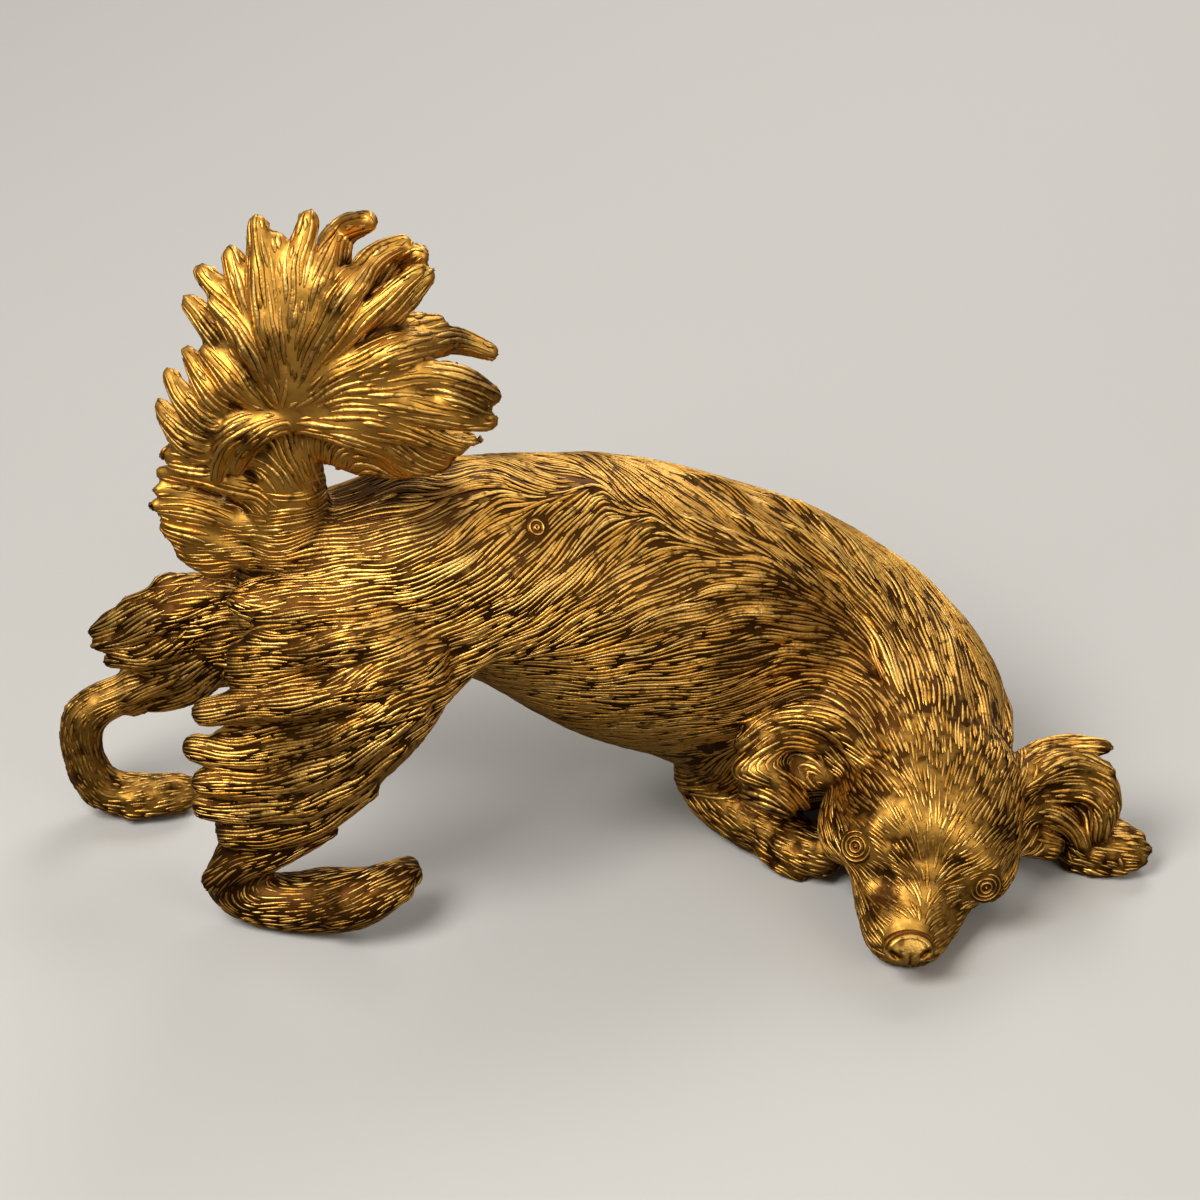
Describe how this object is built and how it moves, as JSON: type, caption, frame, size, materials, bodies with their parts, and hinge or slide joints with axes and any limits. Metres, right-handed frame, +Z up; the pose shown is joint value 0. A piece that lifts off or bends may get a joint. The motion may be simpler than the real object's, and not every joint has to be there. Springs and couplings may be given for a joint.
{
  "type": "dog figurine",
  "caption": "Gilt bronze figurine of a long-haired dog in a play bow, with raised plumed tail and low head, cast in sections that are keyed and pinned together.",
  "frame": {"origin": "on the ground under the middle of the figure's outline", "axes": "+Z up, +X towards the dog's head end along the figure's length, -Y towards the dog's right side and the picture's camera"},
  "size_m": [0.1842, 0.0822, 0.1253],
  "materials": {
    "gilt_bronze": "fire gilding over cast and chased bronze, worn on the ridges and brown in the grooves",
    "bronze_fitting": "bronze rod filed flush and gilded over, worn"
  },
  "bodies": {
    "root": {"head_casting": "gilt_bronze", "rump_casting": "gilt_bronze", "right_ear": "gilt_bronze", "left_ear": "gilt_bronze", "torso_casting": "gilt_bronze", "right_hind_leg": "gilt_bronze", "left_hind_shank": "gilt_bronze", "left_hind_thigh": "gilt_bronze", "right_foreleg": "gilt_bronze", "left_foreleg": "gilt_bronze", "tail_plume": "gilt_bronze", "neck_pin": "bronze_fitting", "tail_pin": "bronze_fitting", "right_hip_pin": "bronze_fitting", "left_hip_pin": "bronze_fitting", "left_shank_pin": "bronze_fitting", "right_shoulder_pin": "bronze_fitting", "left_shoulder_pin": "bronze_fitting", "right_waist_pin": "bronze_fitting", "left_waist_pin": "bronze_fitting", "right_core_plug": "bronze_fitting", "left_core_plug": "bronze_fitting"}
  },
  "joints": []
}
